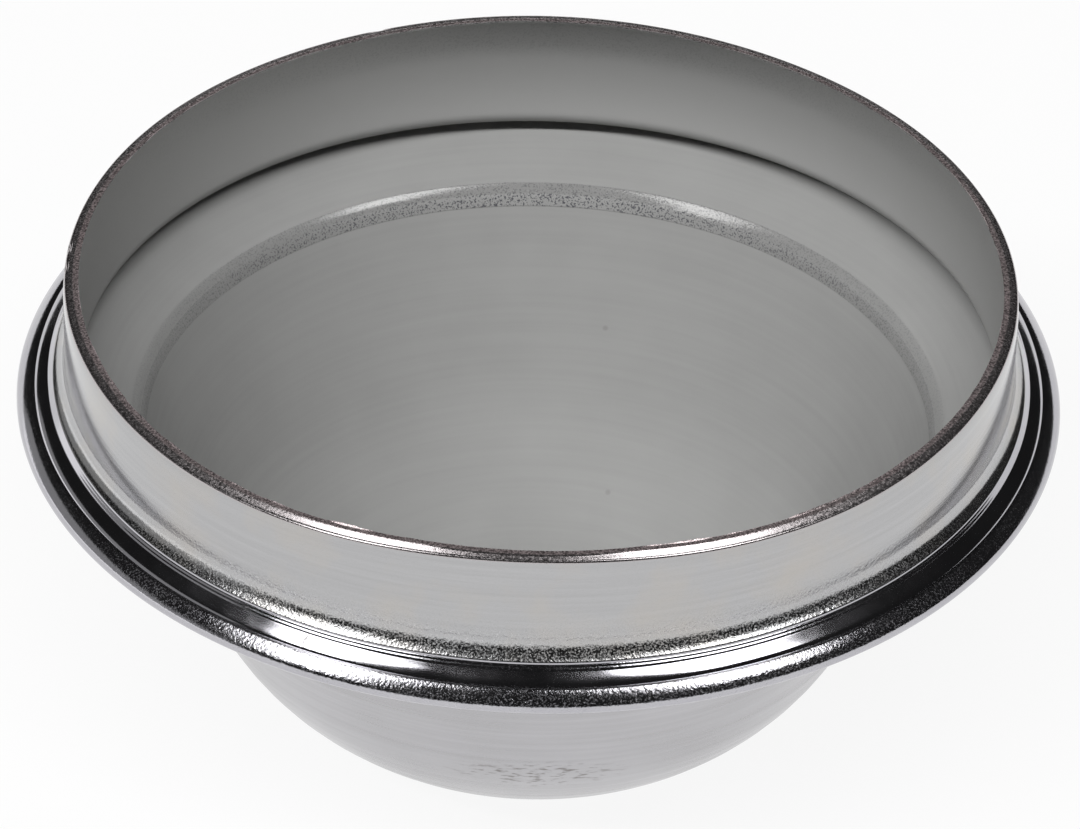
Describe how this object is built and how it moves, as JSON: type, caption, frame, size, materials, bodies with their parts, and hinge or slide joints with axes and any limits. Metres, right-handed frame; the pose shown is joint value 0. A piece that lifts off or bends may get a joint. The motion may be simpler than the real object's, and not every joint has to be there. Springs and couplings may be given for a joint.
{
  "type": "hub grease cap",
  "caption": "Round drawn-steel grease cap with a press-in neck, a folded flange and a bowl-shaped dome, closing the outer end of a wheel hub.",
  "frame": {"origin": "middle of the flat closed end, on the cap's axis", "axes": "+Z along the cap's axis, from the closed end up to the open mouth"},
  "size_m": [0.0688, 0.0688, 0.0333],
  "materials": {
    "zinc_plated_steel": "bright zinc plate over drawn sheet steel, satin on the walls and bright on the pressed flange"
  },
  "bodies": {
    "root": {"grease_cap": "zinc_plated_steel"}
  },
  "joints": []
}
